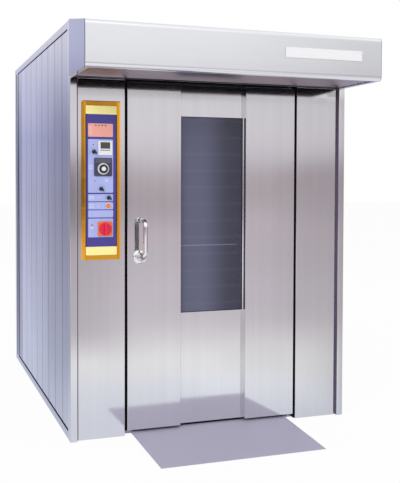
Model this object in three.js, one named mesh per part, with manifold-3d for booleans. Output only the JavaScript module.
// A rotating rack oven: an insulated steel cabinet with a hinged, glazed door, a canopy, a rack trolley that hangs
// from a driven shaft, a heated rear compartment with its fan, and a control column beside the door.
// Millimetres, +Z up. The origin is on the floor at the middle of the cabinet, and the door faces -Y.
import * as THREE from "three";
import { mergeVertices } from "three/addons/utils/BufferGeometryUtils.js";
import Module from "manifold-3d";

const wasm = await Module();
wasm.setup();

// ---------------------------------------------------------------- driving sizes

const SEAT = 0.3; // clearance between pieces that seat on each other
const RUNNING = 0.3; // radial clearance round a turning shaft

const BODY = { width: 1600, depth: 2200, height: 2195 };
const POST = { width: 37, depth: 66, sheet: 3 }; // front corner posts
const FASCIA = { setback: 20, sheet: 3, width: 259 }; // front panels, set back from the posts
const SIDE = {
  thick: 10,
  relief: 5,
  rail: 40,
  stile: 150,
  seam: 6,
  seamDepth: 3,
  pitch: 231,
  firstSeam: 250,
};
const REAR = { thick: 6, hatchWidth: 760, hatchHeight: 900, hatchLow: 620, hatchRelief: 3, seam: 8 };
const ROOF = { thick: 5, boreClear: 6 };
const BASE = { thick: 15, front: 62 };
const JACKET = { side: 97, rear: 100, roof: 115 }; // mineral wool cassettes
const DUCT = {
  depth: 70,
  sheet: 3,
  slotLength: 380,
  slotHeight: 14,
  rows: 11,
  columns: 2,
  rowPitch: 155,
  columnPitch: 480,
};
const CHAMBER = { depth: 1240, height: 1935, sheet: 3 };
const JAMB = { face: 75, depth: 95 };
const MOUTH = { inset: 85, top: 1815 }; // the way into the chamber, inset from the door's edges

const DOOR = { foot: 27, headGap: 13, boxWidth: 300, boxDepth: 36, boxSheet: 3, plate: 4, plateInset: 4 };
const JAMB_GAP = 14; // between the door's edge and the fascias
const HINGE = { inset: 30, depth: 36, pin: 8, bracket: 28, plate: 7, collar: 14, engage: 33 };
const WINDOW = { margin: 4, low: 641, high: 1718, rebate: 14, glass: 6, lip: 20, lipDepth: 9 };
const PLUG = { inset: 108, low: 35, high: 1795, depth: 100 };
const GASKET = { width: 30, latchInset: 5, hingeInset: 45, headInset: 30, foot: 1.5 };

const CANOPY = { depth: 385, overhang: 5, bottom: 1903, front: 2132, sheet: 3, bullnose: 23, lip: 22 };
const FILTER = { frame: 18, height: 22, blades: 9, blade: 3, rake: 14, jointWidth: 14 };
const PLATE = { width: 451, height: 58, thick: 4, side: 113.5, centreZ: 2029 };
const RAMP = {
  inset: 40,
  taper: 10,
  askew: 19.5, // the toe lies this far to the left, as the loose plate was left
  run: 589,
  slope: 554,
  height: 15.4,
  toeHeight: 0.6,
  toeSolid: 100,
  sheet: 3,
  centreX: -8,
  flange: 3,
};

// Each control's place is across from the middle of the control column and up from its foot.
const PANEL = { margin: 26, height: 833, low: 950, rail: 20, endRail: 25, proud: 12, plateSet: 6, plate: 4 };
const CUTOUT = { width: 140, low: 110, high: 650 };
const DISPLAY = { size: 75, proud: 7, depth: 55, body: 66, across: 21, up: 587 };
const TIMER = { size: 95, proud: 8, depth: 60, body: 90, across: 9, up: 487.5 };
const DIAL = { radius: 32, height: 9, slope: 2, edge: 3, hub: 12, hubHeight: 16, across: 9, up: 478 };
const KNOB = { radius: 15, skirt: 4, height: 22, blade: 8, stem: 5, stemLength: 20 };
const CYCLE_SWITCH = { across: -38.5, up: 567.5 };
const STEAM_SWITCH = { across: -0.5, up: 373.5 };
const LAMP_SWITCH = { across: 39.5, up: 327 };
const BUTTON = { radius: 13, proud: 12, edge: 3, stem: 6, stemLength: 18, travel: 4, across: 37.5, up: 284.5 };
const MAIN = {
  size: 76,
  proud: 6,
  depth: 50,
  body: 60,
  across: 20,
  up: 163.5,
  knob: 33,
  knobHeight: 26,
  skirt: 8,
  blade: 16,
  bladeInset: 2,
};

const HANDLE = {
  inset: 68,
  z: 960,
  tube: 12.5,
  rise: 195,
  standoff: 88,
  crank: 7, // the grip stands this far to the right of its spindle
  bend: 34,
  gap: 4,
  hub: 24,
  hubLength: 26,
};
const ROSETTE = { radius: 39, thick: 14, rim: 6 };
const SPINDLE = { radius: 8, cam: 8, camWidth: 16, camReach: 45, camBack: 84 };
const KEEPER = { plate: 4, halfHeight: 74, slot: 24, pocket: 45, wall: 3 };

const ROTOR = { shaft: 20, beam: 60, beamHeight: 40, beamLength: 660, hook: 30, hookThick: 12 };
const RACK = {
  width: 700,
  depth: 780,
  tube: 25,
  levels: 18,
  pitch: 92,
  runner: 30,
  runnerThick: 3,
  lift: 8,
  topGap: 62,
};
const CASTOR = { radius: 50, width: 32, axle: 6, cheek: 5, gap: 3, plate: 8, inset: 10 };
const BEARING = { outer: 60, height: 30, flange: 80, flangeThick: 10 };
const GEARBOX = { width: 170, depth: 150, height: 104, motorRadius: 50, motorLength: 210 };

const FAN = {
  radius: 220,
  height: 120,
  plate: 4,
  inlet: 130,
  blades: 10,
  blade: 3,
  chord: 110,
  rake: Math.PI / 5,
  rimInset: 12,
  hub: 40,
  shaft: 15,
  top: 1900,
};
const FAN_MOTOR = { radius: 95, height: 190, foot: 130, footThick: 12 };
const HEATER = {
  sideClear: 243,
  height: 1350,
  elements: 8,
  tube: 8,
  header: 60,
  depth: 120,
  setback: 120,
  leg: 120,
};
const STEAMER = {
  width: 90,
  sideClear: 88,
  rearClear: 44,
  height: 1300,
  troughs: 6,
  lip: 30,
  sheet: 4,
  stand: 60,
};
const FLUE = {
  radius: 75,
  wall: 3,
  height: 150,
  flange: 105,
  flangeThick: 6,
  x: 360,
  y: 700,
  flap: 3,
  flapClear: 1,
  pivot: 6,
  arm: 70,
};
const LAMP = { width: 60, depth: 34, height: 320, z: 1280, lens: 5 };

// ---------------------------------------------------------------- derived places

const front = -BODY.depth / 2;
const back = BODY.depth / 2;
const halfWidth = BODY.width / 2;
const fasciaFace = front + FASCIA.setback;
const plateFace = fasciaFace + DOOR.boxDepth; // front of the recessed middle of the door
const plateBack = plateFace + DOOR.plate;
const jambFace = front + JAMB.face;
const jambBack = jambFace + JAMB.depth;
const openingHalf = halfWidth - POST.width - FASCIA.width;
const doorHalf = openingHalf - JAMB_GAP;
const recessHalf = doorHalf - DOOR.boxWidth;
const windowHalf = recessHalf - WINDOW.margin;
const plugHalf = doorHalf - PLUG.inset;
const mouthHalf = doorHalf - MOUTH.inset;
const handleX = HANDLE.inset - doorHalf;
const filterJoint = openingHalf - JAMB_GAP / 2;
const plateX = halfWidth - PLATE.side - PLATE.width / 2;
const doorHead = CANOPY.bottom - DOOR.headGap;
const skinInner = halfWidth - SIDE.thick;
const rearInner = back - REAR.thick;
const roofUnder = BODY.height - ROOF.thick;
const wallInner = halfWidth - SIDE.thick - JACKET.side; // inner face of the side insulation
const wallRear = rearInner - JACKET.rear;
const wallTop = roofUnder - JACKET.roof;
const chamberHalf = wallInner - DUCT.depth;
const chamberBack = jambBack + CHAMBER.depth;
const ceiling = BASE.thick + CHAMBER.height;
const rotorY = (jambBack + chamberBack) / 2;
const fanY = (chamberBack + wallRear) / 2;
const hingeX = doorHalf - HINGE.inset;
const hingeY = front + HINGE.depth;
const castorX = (RACK.width - RACK.tube - CASTOR.width) / 2 - CASTOR.inset;
const castorY = RACK.depth / 2 - CASTOR.radius - CASTOR.inset;
const castorZ = BASE.thick + RACK.lift + CASTOR.radius;
const castorForkHalf = CASTOR.width / 2 + CASTOR.gap + CASTOR.cheek;
const fasciaMid = -(openingHalf + FASCIA.width / 2);
const panelWidth = FASCIA.width - 2 * PANEL.margin;
const panelHigh = PANEL.low + PANEL.height;
const panelFace = fasciaFace - PANEL.plateSet - PANEL.plate; // front of the control plate
const frameFace = fasciaFace - PANEL.proud;

// ---------------------------------------------------------------- finishes

const finish = (color, roughness, metalness) => new THREE.MeshStandardMaterial({ color, roughness, metalness });
const steel = finish(0xc9c9d0, 0.28, 1);
const darkSteel = finish(0x77757c, 0.4, 1);
const chrome = finish(0xe6e6ea, 0.08, 1);
const gold = finish(0xd7961e, 0.35, 0.6);
const blue = finish(0x463c96, 0.5, 0);
const black = finish(0x17171a, 0.5, 0);
const white = finish(0xe8e8e8, 0.5, 0);
const orange = finish(0xe8701c, 0.4, 0);
const amber = finish(0xe9a531, 0.5, 0);
const red = finish(0xc81e22, 0.35, 0);
const wool = finish(0xb9a77c, 0.95, 0);
const silicone = finish(0x202022, 0.8, 0);
const motorPaint = finish(0x4a5a68, 0.55, 0.1);
const glass = new THREE.MeshStandardMaterial({ color: 0x5a6478, roughness: 0.05, transparent: true, opacity: 0.4 });

// ---------------------------------------------------------------- solids

// A closed three.js geometry as a solid that can be joined and cut.
function solid(geometry) {
  const bare = geometry.index ? geometry.toNonIndexed() : geometry;
  bare.deleteAttribute("normal");
  bare.deleteAttribute("uv");
  const merged = mergeVertices(bare, 1e-4);
  const vertProperties = merged.attributes.position.array;
  const triVerts = new Uint32Array(merged.index.array);
  const made = new wasm.Manifold(new wasm.Mesh({ numProp: 3, vertProperties, triVerts }));
  if (made.volume() > 0) return made;
  return new wasm.Manifold(new wasm.Mesh({ numProp: 3, vertProperties, triVerts: triVerts.reverse() }));
}

// A block between two values on each axis, given in any order.
function block([x0, x1], [y0, y1], [z0, z1]) {
  const g = new THREE.BoxGeometry(Math.abs(x1 - x0), Math.abs(y1 - y0), Math.abs(z1 - z0));
  return solid(g.translate((x0 + x1) / 2, (y0 + y1) / 2, (z0 + z1) / 2));
}

// Where an outline's two directions and its depth go: an outline lies in y, z or in x, z or in x, y.
const AXES = {
  x: new THREE.Matrix4().set(0, 0, 1, 0, 1, 0, 0, 0, 0, 1, 0, 0, 0, 0, 0, 1),
  y: new THREE.Matrix4().set(1, 0, 0, 0, 0, 0, -1, 0, 0, 1, 0, 0, 0, 0, 0, 1),
  z: new THREE.Matrix4(),
};

// A three.js shape pushed along an axis from one value to another.
function push(shape, axis, from, to) {
  const g = new THREE.ExtrudeGeometry(shape, { depth: to - from, bevelEnabled: false, curveSegments: 8 });
  return solid(g.translate(0, 0, axis === "y" ? -to : from).applyMatrix4(AXES[axis]));
}

// The same for an outline of [u, v] points joined by straight lines.
const prism = (points, axis, from, to) =>
  push(new THREE.Shape(points.map(([u, v]) => new THREE.Vector2(u, v))), axis, from, to);

// A round bar or bore along an axis, round a centre given in the outline's two directions.
function bar(radius, axis, [u, v], from, to, sides = 24) {
  const corner = (i) => [
    u + radius * Math.cos((2 * Math.PI * i) / sides),
    v + radius * Math.sin((2 * Math.PI * i) / sides),
  ];
  return prism(Array.from({ length: sides }, (_, i) => corner(i)), axis, from, to);
}

// A body turned about a line along an axis, from [radius, height] points that start and end on the line.
function turned(points, axis, [u, v], sides = 24) {
  const g = new THREE.LatheGeometry(points.map(([r, h]) => new THREE.Vector2(r, axis === "y" ? -h : h)), sides);
  return solid(g.rotateX(Math.PI / 2).translate(u, v, 0).applyMatrix4(AXES[axis]));
}

const join = (bodies) => bodies.reduce((a, b) => a.add(b));
const cut = (body, holes) => holes.reduce((a, b) => a.subtract(b), body);

// A frame: an outer block with an opening right through along Y.
const ring = ([x0, x1], [y0, y1], [z0, z1], [left, right], [low, high]) =>
  cut(block([x0, x1], [y0, y1], [z0, z1]), [block([left, right], [y0 - 1, y1 + 1], [low, high])]);

const oven = new THREE.Group();

// A named piece in a group, from its solid.
function piece(group, name, body, material) {
  const { vertProperties, triVerts } = body.getMesh();
  const g = new THREE.BufferGeometry()
    .setAttribute("position", new THREE.BufferAttribute(vertProperties, 3))
    .setIndex(new THREE.BufferAttribute(triVerts, 1));
  const mesh = new THREE.Mesh(g, material);
  mesh.name = name;
  group.add(mesh);
}

function groupAt(parent, x, y, z) {
  const group = new THREE.Group();
  group.position.set(x, y, z);
  parent.add(group);
  return group;
}

// ---------------------------------------------------------------- cabinet

function buildCasing(cabinet) {
  const floor = block([-skinInner, skinInner], [jambFace, rearInner], [0, BASE.thick]);
  const sill = block([-openingHalf, openingHalf], [front + BASE.front, jambFace], [0, BASE.thick]);
  piece(cabinet, "base_plate", floor.add(sill), darkSteel);
  piece(cabinet, "left_side_panel", sidePanel(-1), steel);
  piece(cabinet, "right_side_panel", sidePanel(1), steel);
  piece(cabinet, "rear_panel", rearPanel(), steel);
  const roof = block([-skinInner, skinInner], [front + POST.depth, back], [roofUnder, BODY.height]);
  const tongueHalf = halfWidth - POST.width;
  const tongue = block([-tongueHalf, tongueHalf], [fasciaFace, front + POST.depth], [roofUnder, BODY.height]);
  piece(cabinet, "roof_panel", cut(roof.add(tongue), roofBores(roofUnder, BODY.height)), steel);
  for (const [name, side] of [["left_front_post", -1], ["right_front_post", 1]])
    piece(cabinet, name, frontPost(side), steel);
  piece(cabinet, "left_fascia", cut(fascia(-1), [controlCutout()]), steel);
  piece(cabinet, "right_fascia", fascia(1), steel);
  const span = [-openingHalf, openingHalf];
  const headerSkin = block(span, [fasciaFace, fasciaFace + FASCIA.sheet], [CANOPY.bottom, roofUnder]);
  const headerFold = block(span, [fasciaFace, jambFace], [CANOPY.bottom, CANOPY.bottom + FASCIA.sheet]);
  piece(cabinet, "door_header", headerSkin.add(headerFold), steel);
}

// The bores that the drive shaft, the fan shaft and the flue need through any horizontal sheet.
function roofBores(low, high) {
  return [
    bar(ROTOR.shaft + ROOF.boreClear, "z", [0, rotorY], low - 1, high + 1),
    bar(FAN.shaft + ROOF.boreClear, "z", [0, fanY], low - 1, high + 1),
    bar(FLUE.radius - FLUE.wall, "z", [FLUE.x, FLUE.y], low - 1, high + 1),
  ];
}

// Side cladding: a field set back between rails, with vertical seams at an even pitch.
function sidePanel(side) {
  const outer = side * halfWidth;
  const field = outer - side * SIDE.relief;
  const start = front + POST.depth;
  const fieldEnd = back - SIDE.stile;
  const pocket = block(
    [outer + side, field],
    [start - 1, fieldEnd],
    [SIDE.rail, BODY.height - SIDE.rail],
  );
  const count = Math.floor((fieldEnd - front - SIDE.firstSeam) / SIDE.pitch);
  const seams = Array.from({ length: count + 1 }, (_, i) => {
    const y = front + SIDE.firstSeam + i * SIDE.pitch;
    return block(
      [outer + side, field - side * SIDE.seamDepth],
      [y - SIDE.seam / 2, y + SIDE.seam / 2],
      [SIDE.rail, BODY.height - SIDE.rail],
    );
  });
  const sheet = block([side * skinInner, outer], [start, back], [0, BODY.height]);
  return cut(sheet, [pocket, ...seams]);
}

function rearPanel() {
  const halfHatch = REAR.hatchWidth / 2;
  const sheet = block([-skinInner, skinInner], [rearInner, back], [0, roofUnder]);
  const groove = ring(
    [-halfHatch, halfHatch],
    [back - REAR.hatchRelief, back + 1],
    [REAR.hatchLow, REAR.hatchLow + REAR.hatchHeight],
    [-halfHatch + REAR.seam, halfHatch - REAR.seam],
    [REAR.hatchLow + REAR.seam, REAR.hatchLow + REAR.hatchHeight - REAR.seam],
  );
  return cut(sheet, [groove]);
}

// A folded corner post, open at the back.
function frontPost(side) {
  const inner = side * (halfWidth - POST.width);
  const outside = block([side * halfWidth, inner], [front, front + POST.depth], [0, BODY.height]);
  const hollow = block(
    [side * (halfWidth - POST.sheet), inner + side * POST.sheet],
    [front + POST.sheet, front + POST.depth + 1],
    [-1, BODY.height + 1],
  );
  return cut(outside, [hollow]);
}

// A front panel with its return into the door opening.
function fascia(side) {
  const outer = side * (halfWidth - POST.width);
  const inner = side * openingHalf;
  const skin = block([outer, inner], [fasciaFace, fasciaFace + FASCIA.sheet], [0, roofUnder]);
  const fold = block([inner, inner + side * FASCIA.sheet], [fasciaFace, jambFace], [0, roofUnder]);
  return skin.add(fold);
}

const controlCutout = () =>
  block(
    [fasciaMid - CUTOUT.width / 2, fasciaMid + CUTOUT.width / 2],
    [fasciaFace - 1, fasciaFace + FASCIA.sheet + 1],
    [PANEL.low + CUTOUT.low, PANEL.low + CUTOUT.high],
  );

function buildInsulation(cabinet) {
  const outer = skinInner;
  const shell = block([-outer, outer], [jambFace, rearInner], [BASE.thick, roofUnder]);
  const hollow = block([-wallInner, wallInner], [jambFace - 1, wallRear], [BASE.thick - 1, wallTop]);
  piece(cabinet, "insulation_jacket", cut(shell, [hollow, ...roofBores(wallTop, roofUnder)]), wool);
  piece(cabinet, "door_jamb", doorJamb(), steel);
}

// The insulated portal that the door closes against, with the latch pocket.
function doorJamb() {
  const portal = block([-wallInner, wallInner], [jambFace, jambBack], [BASE.thick, wallTop]);
  const mouth = block([-mouthHalf, mouthHalf], [jambFace - 1, jambBack + 1], [BASE.thick - 1, MOUTH.top]);
  const right = -mouthHalf - KEEPER.wall;
  const left = right - KEEPER.pocket;
  const z = [HANDLE.z - KEEPER.halfHeight, HANDLE.z + KEEPER.halfHeight];
  const rebate = block(
    [left - SEAT, right + SEAT],
    [jambFace - 1, jambFace + KEEPER.plate],
    [z[0] - SEAT, z[1] + SEAT],
  );
  const swing = SPINDLE.camReach + SPINDLE.radius;
  const pocket = block(
    [handleX - swing, right],
    [jambFace + KEEPER.plate - 1, jambFace + KEEPER.plate + KEEPER.pocket],
    [HANDLE.z - swing, HANDLE.z + SPINDLE.camWidth],
  );
  return cut(portal, [mouth, rebate, pocket]);
}

function buildChamber(cabinet) {
  piece(cabinet, "left_air_duct", airDuct(-1), steel);
  piece(cabinet, "right_air_duct", airDuct(1), steel);
  const top = block(
    [-chamberHalf, chamberHalf],
    [jambBack, chamberBack],
    [ceiling, ceiling + CHAMBER.sheet],
  );
  piece(cabinet, "chamber_ceiling", cut(top, [roofBores(ceiling, ceiling + CHAMBER.sheet)[0]]), steel);
  const baffle = block(
    [-chamberHalf, chamberHalf],
    [chamberBack, chamberBack + CHAMBER.sheet],
    [BASE.thick, ceiling + CHAMBER.sheet],
  );
  piece(cabinet, "rear_baffle", baffle, steel);
  const lampX = (chamberHalf + mouthHalf) / 2;
  const half = LAMP.width / 2;
  const lampZ = [LAMP.z - LAMP.height / 2, LAMP.z + LAMP.height / 2];
  const lamp = block([lampX - half, lampX + half], [jambBack, jambBack + LAMP.depth], lampZ);
  const lens = block(
    [lampX - half - LAMP.lens, lampX - half + 1],
    [jambBack + LAMP.lens, jambBack + LAMP.depth - LAMP.lens],
    [lampZ[0] + LAMP.lens, lampZ[1] - LAMP.lens],
  );
  piece(cabinet, "chamber_lamp", lamp.add(lens), white);
}

// A chamber side wall: a slotted sheet that stands off the insulation, with a fold along its front.
function airDuct(side) {
  const face = side * chamberHalf;
  const wall = side * wallInner;
  const z = [BASE.thick, ceiling + CHAMBER.sheet];
  const sheet = block([face, face + side * DUCT.sheet], [jambBack, chamberBack], z);
  const fold = block([face, wall], [jambBack, jambBack + DUCT.sheet], z);
  const slots = [];
  for (let row = 0; row < DUCT.rows; row++)
    for (let column = 0; column < DUCT.columns; column++) {
      const midY = rotorY + (column - (DUCT.columns - 1) / 2) * DUCT.columnPitch;
      const midZ = (BASE.thick + ceiling) / 2 + (row - (DUCT.rows - 1) / 2) * DUCT.rowPitch;
      slots.push(
        block(
          [face - side, face + side * (DUCT.sheet + 1)],
          [midY - DUCT.slotLength / 2, midY + DUCT.slotLength / 2],
          [midZ - DUCT.slotHeight / 2, midZ + DUCT.slotHeight / 2],
        ),
      );
    }
  return cut(sheet, slots).add(fold);
}

// ---------------------------------------------------------------- canopy and ramp

// The canopy's outline from the side, moved inwards by a sheet or by nothing. Its front edges are rounded.
function canopyOutline(inset) {
  const r = CANOPY.bullnose - inset;
  const face = front - CANOPY.depth + inset;
  const top = CANOPY.front - inset;
  const low = CANOPY.bottom + inset;
  const rear = front - inset;
  const shape = new THREE.Shape();
  shape.moveTo(rear, low);
  shape.lineTo(rear, BODY.height - inset);
  shape.lineTo(face + r, top);
  shape.absarc(face + r, top - r, r, Math.PI / 2, Math.PI, false);
  shape.absarc(face + r, low + r, r, Math.PI, 1.5 * Math.PI, false);
  shape.closePath();
  return shape;
}

function buildCanopy(cabinet) {
  const half = halfWidth + CANOPY.overhang;
  const inner = half - CANOPY.sheet;
  const shell = push(canopyOutline(0), "x", -half, half);
  const hollow = push(canopyOutline(CANOPY.sheet), "x", -inner, inner);
  const mouth = block(
    [-inner + CANOPY.lip, inner - CANOPY.lip],
    [front - CANOPY.depth + CANOPY.bullnose + CANOPY.lip, front - CANOPY.sheet],
    [CANOPY.bottom - 1, CANOPY.bottom + CANOPY.sheet + 1],
  );
  piece(cabinet, "canopy_shell", cut(shell, [hollow, mouth]), steel);
  piece(cabinet, "canopy_filter", canopyFilter(inner), darkSteel);
  const y = front - CANOPY.depth;
  const plate = block(
    [plateX - PLATE.width / 2, plateX + PLATE.width / 2],
    [y - PLATE.thick, y],
    [PLATE.centreZ - PLATE.height / 2, PLATE.centreZ + PLATE.height / 2],
  );
  piece(cabinet, "name_plate", plate, white);
}

// A grille of raked blades in a frame that rests on the canopy's lip, in line with the door's edges.
function canopyFilter(inner) {
  const half = inner - SEAT;
  const low = CANOPY.bottom + CANOPY.sheet;
  const high = low + FILTER.height;
  const y0 = front - CANOPY.depth + CANOPY.bullnose + SEAT;
  const y1 = front - CANOPY.sheet - SEAT;
  const outer = block([-half, half], [y0, y1], [low, high]);
  const opening = block(
    [-half + FILTER.frame, half - FILTER.frame],
    [y0 + FILTER.frame, y1 - FILTER.frame],
    [low - 1, high + 1],
  );
  const joints = [-1, 1].map((side) => {
    const x = side * filterJoint;
    return block([x - FILTER.jointWidth / 2, x + FILTER.jointWidth / 2], [y0 + 1, y1 - 1], [low, high]);
  });
  const pitch = (y1 - y0 - 2 * FILTER.frame) / (FILTER.blades + 1);
  const blades = Array.from({ length: FILTER.blades }, (_, i) => {
    const y = y0 + FILTER.frame + (i + 1) * pitch;
    const outline = [
      [y - FILTER.rake / 2, low],
      [y - FILTER.rake / 2 + FILTER.blade, low],
      [y + FILTER.rake / 2 + FILTER.blade, high],
      [y + FILTER.rake / 2, high],
    ];
    return prism(outline, "x", -half + FILTER.frame - 1, half - FILTER.frame + 1);
  });
  return join([cut(outer, [opening]), ...joints, ...blades]);
}

// A folded ramp: a sloping plate with a level landing under the door, and a cheek down each side.
function buildRamp(cabinet) {
  const rear = front + BASE.front - SEAT;
  const brow = rear - (RAMP.run - RAMP.slope);
  const toe = rear - RAMP.run;
  const profile = [
    [toe, 0],
    [rear, 0],
    [rear, RAMP.height],
    [brow, RAMP.height],
    [toe, RAMP.toeHeight],
  ];
  const under = [
    [toe + RAMP.toeSolid, -1],
    [rear + 1, -1],
    [rear + 1, RAMP.height - RAMP.sheet],
    [brow, RAMP.height - RAMP.sheet],
  ];
  const halfBack = doorHalf - RAMP.inset;
  const halfFront = halfBack - RAMP.taper;
  const x = RAMP.centreX;
  const toeX = x - RAMP.askew;
  const plan = (inset) => [
    [toeX - halfFront + inset, toe],
    [toeX + halfFront - inset, toe],
    [x + halfBack - inset, rear],
    [x - halfBack + inset, rear],
  ];
  const wide = halfBack + RAMP.askew;
  const body = prism(profile, "x", x - wide, x + wide).intersect(prism(plan(0), "z", -1, RAMP.height + 1));
  const hollow = prism(under, "x", x - wide, x + wide).intersect(
    prism(plan(RAMP.flange), "z", -2, RAMP.height + 1),
  );
  piece(cabinet, "entry_ramp", cut(body, [hollow]), steel);
}

// ---------------------------------------------------------------- heat and drive

function buildHeat(cabinet) {
  piece(cabinet, "heater_bank", heaterBank(), darkSteel);
  piece(cabinet, "steam_generator", steamGenerator(), darkSteel);
  const motor = bar(FAN_MOTOR.radius, "z", [0, fanY], BODY.height, BODY.height + FAN_MOTOR.height, 32);
  const half = FAN_MOTOR.foot;
  const foot = block([-half, half], [fanY - half, fanY + half], [BODY.height, BODY.height + FAN_MOTOR.footThick]);
  const bore = bar(FAN.shaft + RUNNING, "z", [0, fanY], BODY.height - 1, BODY.height + FAN_MOTOR.height / 2);
  piece(cabinet, "fan_motor", cut(motor.add(foot), [bore]), motorPaint);
}

// Upright tube elements between two header boxes, on two legs.
function heaterBank() {
  const y0 = chamberBack + HEATER.setback;
  const yMid = y0 + HEATER.depth / 2;
  const half = wallInner - HEATER.sideClear;
  const low = BASE.thick + HEATER.leg;
  const high = low + HEATER.height;
  const headers = [low, high - HEATER.header].map((z) =>
    block([-half, half], [y0, y0 + HEATER.depth], [z, z + HEATER.header]),
  );
  const pitch = (2 * half) / HEATER.elements;
  const tubes = [];
  for (let i = 0; i < HEATER.elements; i++)
    for (const row of [-1, 1]) {
      const at = [-half + (i + 0.5) * pitch, yMid + (row * HEATER.depth) / 4];
      tubes.push(bar(HEATER.tube, "z", at, low + 1, high - 1, 8));
    }
  const legs = [-1, 1].map((side) => {
    const x = side * (half - HEATER.header / 2);
    return block([x - HEATER.header / 2, x + HEATER.header / 2], [y0, y0 + HEATER.depth], [BASE.thick, low + 1]);
  });
  return join([...headers, ...tubes, ...legs]);
}

// A stack of troughs between two cheeks, which water trickles down to make steam.
function steamGenerator() {
  const { width, sideClear, rearClear, height, troughs, lip, sheet, stand } = STEAMER;
  const x0 = sideClear - wallInner;
  const x1 = x0 + width;
  const y0 = chamberBack + HEATER.setback + HEATER.depth + stand;
  const y1 = wallRear - rearClear;
  const low = BASE.thick;
  const cheeks = [x0, x1 - sheet].map((left) => block([left, left + sheet], [y0, y1], [low, low + height]));
  const pitch = (height - stand) / troughs;
  const shelves = Array.from({ length: troughs }, (_, i) => {
    const z = low + stand + i * pitch;
    const floor = block([x0, x1], [y0, y1], [z, z + sheet]);
    return floor.add(block([x0, x1], [y0, y0 + sheet], [z, z + lip]));
  });
  return join([...cheeks, ...shelves]);
}

function buildDrive(cabinet) {
  const roof = BODY.height;
  const half = BEARING.flange;
  const flange = block([-half, half], [rotorY - half, rotorY + half], [roof, roof + BEARING.flangeThick]);
  const housing = bar(BEARING.outer, "z", [0, rotorY], roof, roof + BEARING.height);
  const bore = bar(ROTOR.shaft + RUNNING, "z", [0, rotorY], roof - 1, roof + BEARING.height + 1);
  piece(cabinet, "shaft_bearing", cut(flange.add(housing), [bore]), darkSteel);
  const low = roof + BEARING.height;
  const high = low + GEARBOX.height;
  const box = block(
    [-GEARBOX.width / 2, GEARBOX.width / 2],
    [rotorY - GEARBOX.depth / 2, rotorY + GEARBOX.depth / 2],
    [low, high],
  );
  const motorZ = low + GEARBOX.height / 2;
  const motorFrom = rotorY + GEARBOX.depth / 2 - 1;
  const motor = bar(GEARBOX.motorRadius, "y", [0, motorZ], motorFrom, motorFrom + GEARBOX.motorLength);
  const drive = bar(ROTOR.shaft + RUNNING, "z", [0, rotorY], low - 1, high + 1);
  piece(cabinet, "gear_motor", cut(box.add(motor), [drive]), motorPaint);
}

function buildFlue(cabinet) {
  const roof = BODY.height;
  const tube = bar(FLUE.radius, "z", [FLUE.x, FLUE.y], roof, roof + FLUE.height, 32);
  const flange = bar(FLUE.flange, "z", [FLUE.x, FLUE.y], roof, roof + FLUE.flangeThick, 32);
  const bore = bar(FLUE.radius - FLUE.wall, "z", [FLUE.x, FLUE.y], roof - 1, roof + FLUE.height + 1, 32);
  const z = roof + FLUE.height / 2;
  const pivot = bar(FLUE.pivot + RUNNING, "x", [FLUE.y, z], FLUE.x - FLUE.flange, FLUE.x + FLUE.flange);
  piece(cabinet, "flue_collar", cut(tube.add(flange), [bore, pivot]), steel);
  const damper = groupAt(cabinet, FLUE.x, FLUE.y, z);
  const flapRadius = FLUE.radius - FLUE.wall - FLUE.flapClear;
  const disc = bar(flapRadius, "z", [0, 0], -FLUE.flap / 2, FLUE.flap / 2, 32);
  const reach = FLUE.radius + FLUE.arm / 2;
  const spindle = bar(FLUE.pivot, "x", [0, 0], -FLUE.radius, reach);
  const arm = block([reach - 2 * FLUE.flap, reach], [-FLUE.arm, FLUE.pivot], [-FLUE.pivot, FLUE.pivot]);
  piece(damper, "flue_damper", join([disc, spindle, arm]), darkSteel);
}

// ---------------------------------------------------------------- control column

const panelX = (inset) => [fasciaMid - panelWidth / 2 + inset, fasciaMid + panelWidth / 2 - inset];

// Where a control sits on the front: x and z from its place on the column.
const placed = ({ across, up }) => [fasciaMid + across, PANEL.low + up];

function buildControls(cabinet) {
  const [x0, x1] = panelX(PANEL.rail);
  const low = PANEL.low + PANEL.endRail;
  const high = panelHigh - PANEL.endRail;
  const frame = ring(panelX(0), [frameFace, fasciaFace], [PANEL.low, panelHigh], [x0, x1], [low, high]);
  piece(cabinet, "control_frame", frame, gold);
  const plate = block(
    [x0 + SEAT, x1 - SEAT],
    [panelFace, fasciaFace],
    [low + SEAT, high - SEAT],
  );
  const bore = (radius, control, from, to) => bar(radius + RUNNING, "y", placed(control), from, to, 16);
  const bodies = [DISPLAY, TIMER, MAIN].map(socket);
  const stems = [CYCLE_SWITCH, STEAM_SWITCH, LAMP_SWITCH].map((knob) =>
    bore(KNOB.stem, knob, panelFace - 1, fasciaFace + 1),
  );
  const buttonBore = bore(BUTTON.stem, BUTTON, panelFace - 1, fasciaFace + 1);
  piece(cabinet, "control_plate", cut(plate, [...bodies, ...stems, buttonBore]), blue);
  piece(cabinet, "display_unit", instrument(DISPLAY), white);
  const dialBore = bore(DIAL.hub / 2, DIAL, panelFace - TIMER.proud - 1, panelFace + DIAL.hubHeight);
  piece(cabinet, "timer_controller", cut(instrument(TIMER), [dialBore]), black);
  const mainBore = bore(KNOB.stem, MAIN, panelFace - MAIN.proud - 1, panelFace + KNOB.stemLength);
  piece(cabinet, "main_switch_plate", cut(instrument(MAIN), [mainBore]), amber);
  buildDial(cabinet);
  buildKnob(cabinet, "cycle_switch", CYCLE_SWITCH);
  buildKnob(cabinet, "steam_switch", STEAM_SWITCH);
  buildKnob(cabinet, "lamp_switch", LAMP_SWITCH);
  buildButton(cabinet);
  buildMainKnob(cabinet);
}

// The square hole in the control plate for an instrument's body.
function socket(instrumentSizes) {
  const [x, z] = placed(instrumentSizes);
  const half = instrumentSizes.body / 2 + SEAT;
  return block([x - half, x + half], [panelFace - 1, fasciaFace + 1], [z - half, z + half]);
}

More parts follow.
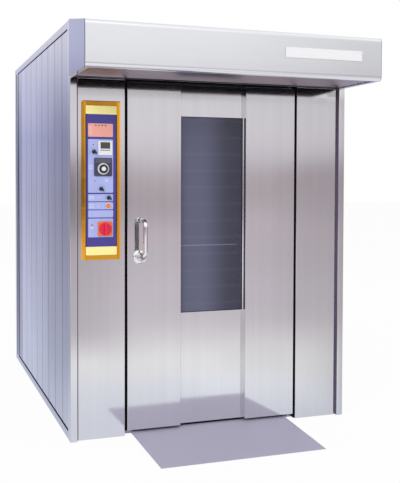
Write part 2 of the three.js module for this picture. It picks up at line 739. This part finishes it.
// A panel instrument: a square bezel on the plate and a body through it.
function instrument(sizes) {
  const { size, proud, depth, body } = sizes;
  const [x, z] = placed(sizes);
  const bezel = block([x - size / 2, x + size / 2], [panelFace - proud, panelFace], [z - size / 2, z + size / 2]);
  const box = block([x - body / 2, x + body / 2], [panelFace - 1, panelFace + depth], [z - body / 2, z + body / 2]);
  return bezel.add(box);
}

function buildDial(cabinet) {
  const face = panelFace - TIMER.proud - SEAT;
  const [x, z] = placed(DIAL);
  const group = groupAt(cabinet, x, face, z);
  const disc = turned(
    [
      [0, -DIAL.hubHeight],
      [DIAL.hub, -DIAL.hubHeight],
      [DIAL.hub + 1, -DIAL.height],
      [DIAL.radius - DIAL.edge, -DIAL.height + DIAL.slope],
      [DIAL.radius, -1],
      [DIAL.radius, 0],
      [0, 0],
    ],
    "y",
    [0, 0],
    32,
  );
  const stem = bar(DIAL.hub / 2, "y", [0, 0], -1, DIAL.hubHeight - 2, 16);
  piece(group, "controller_dial", disc.add(stem), white);
}

// A rotary switch knob with a grip blade, on a stem through the plate.
function buildKnob(cabinet, name, place) {
  const [x, z] = placed(place);
  const group = groupAt(cabinet, x, panelFace - SEAT, z);
  const skirt = bar(KNOB.radius, "y", [0, 0], -KNOB.skirt, 0, 24);
  const reach = KNOB.radius - 1;
  const grip = block([-KNOB.blade / 2, KNOB.blade / 2], [-KNOB.height, -1], [-reach, reach]);
  const stem = bar(KNOB.stem, "y", [0, 0], -1, KNOB.stemLength, 16);
  piece(group, name, join([skirt, grip, stem]), black);
}

function buildButton(cabinet) {
  const [x, z] = placed(BUTTON);
  const group = groupAt(cabinet, x, panelFace, z);
  const gap = BUTTON.travel + SEAT;
  const cap = turned(
    [
      [0, -BUTTON.proud],
      [BUTTON.radius - BUTTON.edge, -BUTTON.proud + 1],
      [BUTTON.radius, -gap - 2],
      [BUTTON.radius, -gap],
      [0, -gap],
    ],
    "y",
    [0, 0],
  );
  const stem = bar(BUTTON.stem, "y", [0, 0], -gap - 1, BUTTON.stemLength, 16);
  piece(group, "start_button", cap.add(stem), orange);
}

function buildMainKnob(cabinet) {
  const [x, z] = placed(MAIN);
  const group = groupAt(cabinet, x, panelFace - MAIN.proud - SEAT, z);
  const skirt = bar(MAIN.knob, "y", [0, 0], -MAIN.skirt, 0, 32);
  const reach = MAIN.knob - MAIN.bladeInset;
  const grip = block([-MAIN.blade / 2, MAIN.blade / 2], [-MAIN.knobHeight, -1], [-reach, reach]);
  const stem = bar(KNOB.stem, "y", [0, 0], -1, KNOB.stemLength - 2, 16);
  piece(group, "main_switch_knob", join([skirt, grip, stem]), red);
}

// ---------------------------------------------------------------- door

function buildDoor(door) {
  const inset = doorHalf - DOOR.plateInset;
  const half = windowHalf;
  const { low, high } = WINDOW;
  const z = [DOOR.foot, doorHead];
  const spindle = (y0, y1) => bar(SPINDLE.radius + RUNNING, "y", [handleX, HANDLE.z], y0 - 1, y1 + 1);
  const sheet = ring([-inset, inset], [plateFace, plateBack], z, [-half, half], [low, high]);
  piece(door, "door_face_plate", cut(sheet, [spindle(plateFace, plateBack)]), steel);
  const left = doorBox(-1);
  piece(door, "left_door_box", cut(left, [spindle(fasciaFace, plateFace)]), steel);
  const pivot = bar(HINGE.pin + RUNNING, "z", [hingeX, hingeY], DOOR.foot - 1, doorHead + 1);
  piece(door, "right_door_box", cut(doorBox(1), [pivot]), steel);
  const coreFront = plateBack;
  const coreBack = coreFront + PLUG.depth;
  const core = block([-plugHalf, plugHalf], [coreFront, coreBack], [PLUG.low, PLUG.high]);
  const rebate = WINDOW.rebate;
  const tunnel = block([-half, half], [coreFront, coreBack - WINDOW.lipDepth], [low, high]);
  const bed = block(
    [-half - rebate - SEAT, half + rebate + SEAT],
    [coreFront - 1, coreFront + WINDOW.glass + SEAT],
    [low - rebate - SEAT, high + rebate + SEAT],
  );
  const lip = block(
    [-half + WINDOW.lip, half - WINDOW.lip],
    [coreFront, coreBack + 1],
    [low + WINDOW.lip, high - WINDOW.lip],
  );
  piece(door, "door_core", cut(core, [tunnel, bed, lip]), steel);
  const outer = block(
    [-half - rebate, half + rebate],
    [coreFront, coreFront + WINDOW.glass],
    [low - rebate, high + rebate],
  );
  piece(door, "outer_window_glass", outer, glass);
  const paneBack = coreBack - WINDOW.lipDepth;
  const inner = block(
    [-half + SEAT, half - SEAT],
    [paneBack - WINDOW.glass, paneBack],
    [low + SEAT, high - SEAT],
  );
  piece(door, "inner_window_glass", inner, glass);
  piece(door, "door_gasket", doorGasket(), silicone);
  const rosette = turned(
    [
      [0, fasciaFace - ROSETTE.thick],
      [ROSETTE.radius - ROSETTE.rim, fasciaFace - ROSETTE.thick],
      [ROSETTE.radius, fasciaFace - ROSETTE.thick + ROSETTE.rim],
      [ROSETTE.radius, fasciaFace],
      [0, fasciaFace],
    ],
    "y",
    [handleX, HANDLE.z],
    32,
  );
  piece(door, "handle_rosette", cut(rosette, [spindle(fasciaFace - ROSETTE.thick, fasciaFace)]), chrome);
}

// A raised box down one side of the door, open at the back.
function doorBox(side) {
  const inner = side * recessHalf;
  const outer = side * doorHalf;
  const t = DOOR.boxSheet;
  const body = block([inner, outer], [fasciaFace, plateFace], [DOOR.foot, doorHead]);
  const hollow = block(
    [inner + side * t, outer - side * t],
    [fasciaFace + t, plateFace + 1],
    [DOOR.foot + t, doorHead - t],
  );
  return cut(body, [hollow]);
}

// The seal round the door's back, which sweeps just over the floor at the bottom.
function doorGasket() {
  const y = [plateBack, jambFace - SEAT];
  const top = doorHead - GASKET.headInset;
  const low = BASE.thick + GASKET.foot;
  const latchSide = GASKET.latchInset - doorHalf;
  const hingeSide = doorHalf - GASKET.hingeInset;
  return ring(
    [latchSide, hingeSide],
    y,
    [low, top],
    [latchSide + GASKET.width, hingeSide - GASKET.width],
    [PLUG.low - SEAT, top - GASKET.width],
  );
}

// A bracket with a collar and a pin that the door turns on: one on the base and one under the header.
function buildPivots(cabinet) {
  const x = [hingeX - HINGE.bracket / 2, hingeX + HINGE.bracket / 2];
  const at = [hingeX, hingeY];
  const y0 = hingeY - HINGE.collar;
  const low = BASE.thick + HINGE.plate;
  const lower = join([
    block(x, [y0, jambFace], [BASE.thick, low]),
    bar(HINGE.collar, "z", at, low - 1, DOOR.foot - SEAT),
    bar(HINGE.pin, "z", at, low - 1, DOOR.foot + HINGE.engage),
  ]);
  piece(cabinet, "lower_door_pivot", lower, darkSteel);
  const high = CANOPY.bottom - HINGE.plate;
  const upper = join([
    block(x, [y0, jambFace], [high, CANOPY.bottom]),
    bar(HINGE.collar, "z", at, doorHead + SEAT, high + 1),
    bar(HINGE.pin, "z", at, doorHead - HINGE.engage, high + 1),
  ]);
  piece(cabinet, "upper_door_pivot", upper, darkSteel);
}

// ---------------------------------------------------------------- handle and latch

function buildHandle(door) {
  const group = groupAt(door, handleX, 0, HANDLE.z);
  const start = fasciaFace - ROSETTE.thick - SEAT;
  const barY = fasciaFace - HANDLE.standoff;
  const r = HANDLE.bend;
  const grip = new THREE.CurvePath();
  const at = (y, z) => new THREE.Vector3(0, y, z); // from the grip's own plane
  const top = HANDLE.rise;
  const middle = (y) => new THREE.Vector3(-HANDLE.crank, y, 0);
  grip.add(new THREE.LineCurve3(middle(start - 2), middle(barY + r)));
  grip.add(new THREE.QuadraticBezierCurve3(middle(barY + r), at(barY, 0), at(barY, r)));
  grip.add(new THREE.LineCurve3(at(barY, r), at(barY, top - r)));
  grip.add(new THREE.QuadraticBezierCurve3(at(barY, top - r), at(barY, top), at(barY + r, top)));
  grip.add(new THREE.LineCurve3(at(barY + r, top), at(fasciaFace - HANDLE.gap, top)));
  const section = new THREE.Shape().absarc(0, 0, HANDLE.tube, 0, 2 * Math.PI, false);
  const tube = solid(
    new THREE.ExtrudeGeometry(section, { steps: 26, extrudePath: grip, curveSegments: 6 }),
  ).translate([HANDLE.crank, 0, 0]);
  const hub = bar(HANDLE.hub, "y", [0, 0], start - HANDLE.hubLength, start);
  const spindle = bar(SPINDLE.radius, "y", [0, 0], start - 1, front + SPINDLE.camBack);
  piece(group, "handle_lever", join([tube, hub, spindle]), chrome);
  const camFront = front + SPINDLE.camBack;
  const cam = join([
    block(
      [-SPINDLE.camWidth / 2, SPINDLE.camWidth / 2],
      [camFront, camFront + SPINDLE.cam],
      [-SPINDLE.camReach, 0],
    ),
    bar(SPINDLE.camWidth / 2, "y", [0, 0], camFront, camFront + SPINDLE.cam),
  ]);
  piece(group, "latch_cam", cam, darkSteel);
}

// The slotted plate in the jamb that the turned cam hooks behind.
function buildKeeper(cabinet) {
  const right = -mouthHalf - KEEPER.wall;
  const left = right - KEEPER.pocket;
  const y = [jambFace, jambFace + KEEPER.plate];
  const plate = block([left, right], y, [HANDLE.z - KEEPER.halfHeight, HANDLE.z + KEEPER.halfHeight]);
  const slot = block(
    [handleX - KEEPER.slot / 2, handleX + KEEPER.slot / 2],
    [y[0] - 1, y[1] + 1],
    [HANDLE.z - SPINDLE.camReach - SPINDLE.radius, HANDLE.z + SPINDLE.camWidth],
  );
  piece(cabinet, "latch_keeper", cut(plate, [slot]), darkSteel);
}

// ---------------------------------------------------------------- rotor, rack and fan

function buildRotor(rotor) {
  const rackTop = ceiling - RACK.topGap;
  const beamLow = rackTop + SEAT;
  const beamHigh = beamLow + ROTOR.beamHeight;
  const shaftTop = BODY.height + BEARING.height + GEARBOX.height;
  piece(rotor, "drive_shaft", bar(ROTOR.shaft, "z", [0, 0], beamHigh, shaftTop), chrome);
  const halfLength = ROTOR.beamLength / 2;
  const beam = block([-halfLength, halfLength], [-ROTOR.beam / 2, ROTOR.beam / 2], [beamLow, beamHigh]);
  const hooks = [-1, 1].map((side) => {
    const inside = side * (RACK.width / 2 - RACK.tube - SEAT);
    const low = rackTop - RACK.tube - SEAT - ROTOR.hookThick;
    const drop = block(
      [inside, inside - side * ROTOR.hookThick],
      [-ROTOR.hook, ROTOR.hook],
      [low, beamLow + 1],
    );
    const toe = block(
      [inside - side, inside + side * RACK.tube],
      [-ROTOR.hook, ROTOR.hook],
      [low, low + ROTOR.hookThick],
    );
    return drop.add(toe);
  });
  piece(rotor, "rack_hanger", join([beam, ...hooks]), steel);
  piece(rotor, "rack_trolley", rackTrolley(rackTop), steel);
}


// The trolley: four uprights, a base and a top frame, and a pair of runners at each level.
function rackTrolley(top) {
  const { width, depth, tube, levels, pitch, runner, runnerThick } = RACK;
  const frameLow = castorZ + CASTOR.radius + CASTOR.gap + CASTOR.plate;
  const across = (z, y) => block([-width / 2, width / 2], [y - tube / 2, y + tube / 2], [z, z + tube]);
  const along = (z, x) => block([x - tube / 2, x + tube / 2], [-depth / 2, depth / 2], [z, z + tube]);
  const x = width / 2 - tube / 2;
  const y = depth / 2 - tube / 2;
  const uprights = [-x, x].flatMap((px) =>
    [-y, y].map((py) =>
      block([px - tube / 2, px + tube / 2], [py - tube / 2, py + tube / 2], [frameLow, top]),
    ),
  );
  const frames = [
    ...[-y, y].map((py) => across(frameLow, py)),
    ...[-x, x].map((px) => along(frameLow, px)),
    across(top - tube, y),
    ...[-x, x].map((px) => along(top - tube, px)),
  ];
  const firstLevel = frameLow + tube + pitch / 2;
  const runners = Array.from({ length: levels }, (_, i) => firstLevel + i * pitch).flatMap((z) =>
    [-1, 1].map((side) =>
      block(
        [side * (width / 2 - tube + 1), side * (width / 2 - tube - runner)],
        [-depth / 2 + 1, depth / 2 - 1],
        [z, z + runnerThick],
      ),
    ),
  );
  const stop = block([-tube / 4, tube / 4], [y - tube / 4, y + tube / 4], [frameLow + 1, top - 1]);
  const forks = [-1, 1].flatMap((sx) => [-1, 1].map((sy) => castorFork(sx * castorX, sy * castorY, frameLow)));
  const rails = [-castorX, castorX].map((middle) =>
    block(
      [middle - castorForkHalf, middle + castorForkHalf],
      [-depth / 2, depth / 2],
      [frameLow - CASTOR.plate, frameLow + 1],
    ),
  );
  return join([...uprights, ...frames, ...runners, stop, ...rails, ...forks]);
}

// Two cheeks and an axle for one castor wheel.
function castorFork(x, y, top) {
  const half = castorForkHalf;
  const cheeks = [-1, 1].map((side) =>
    block(
      [x + side * half, x + side * (half - CASTOR.cheek)],
      [y - CASTOR.radius / 2, y + CASTOR.radius / 2],
      [castorZ - 2 * CASTOR.axle, top - 1],
    ),
  );
  return join([...cheeks, bar(CASTOR.axle, "x", [y, castorZ], x - half, x + half, 16)]);
}

function buildCastors(rotor) {
  const places = [
    ["front_left_castor", -1, -1],
    ["front_right_castor", 1, -1],
    ["rear_left_castor", -1, 1],
    ["rear_right_castor", 1, 1],
  ];
  for (const [name, sx, sy] of places) {
    const group = groupAt(rotor, sx * castorX, sy * castorY, castorZ);
    const tyre = bar(CASTOR.radius, "x", [0, 0], -CASTOR.width / 2, CASTOR.width / 2, 28);
    const bore = bar(CASTOR.axle + RUNNING, "x", [0, 0], -CASTOR.width, CASTOR.width, 16);
    piece(group, name, cut(tyre, [bore]), black);
  }
}

// The fan wheel: a back plate, straight blades and a front ring, on a shaft that goes up into the motor.
function buildFan(fan) {
  const { radius, height, plate, inlet, blades, blade, chord, rake, rimInset, hub, shaft, top } = FAN;
  const low = top - height;
  const disc = bar(radius, "z", [0, 0], top - plate, top, 30);
  const eye = bar(inlet, "z", [0, 0], low - 1, low + plate + 1);
  const rim = cut(bar(radius, "z", [0, 0], low, low + plate, 30), [eye]);
  const vanes = Array.from({ length: blades }, (_, i) => {
    const turn = (2 * Math.PI * i) / blades;
    const vane = new THREE.BoxGeometry(chord, blade, height - 1);
    vane.rotateZ(rake).translate(radius - chord / 2 - rimInset, 0, 0).rotateZ(turn);
    return solid(vane.translate(0, 0, (low + top) / 2));
  });
  const boss = bar(hub, "z", [0, 0], top - height / 2, top, 24);
  const stem = bar(shaft, "z", [0, 0], top - 1, BODY.height + FAN_MOTOR.height / 2 - 2, 24);
  piece(fan, "circulation_fan", join([disc, rim, ...vanes, boss, stem]), darkSteel);
}

// ---------------------------------------------------------------- assembly

const cabinet = groupAt(oven, 0, 0, 0);
buildCasing(cabinet);
buildInsulation(cabinet);
buildChamber(cabinet);
buildCanopy(cabinet);
buildRamp(cabinet);
buildHeat(cabinet);
buildDrive(cabinet);
buildFlue(cabinet);
buildControls(cabinet);
buildPivots(cabinet);
buildKeeper(cabinet);
const door = groupAt(oven, 0, 0, 0);
buildDoor(door);
buildHandle(door);
const rotor = groupAt(oven, 0, rotorY, 0);
buildRotor(rotor);
buildCastors(rotor);
buildFan(groupAt(oven, 0, fanY, 0));

export default oven;
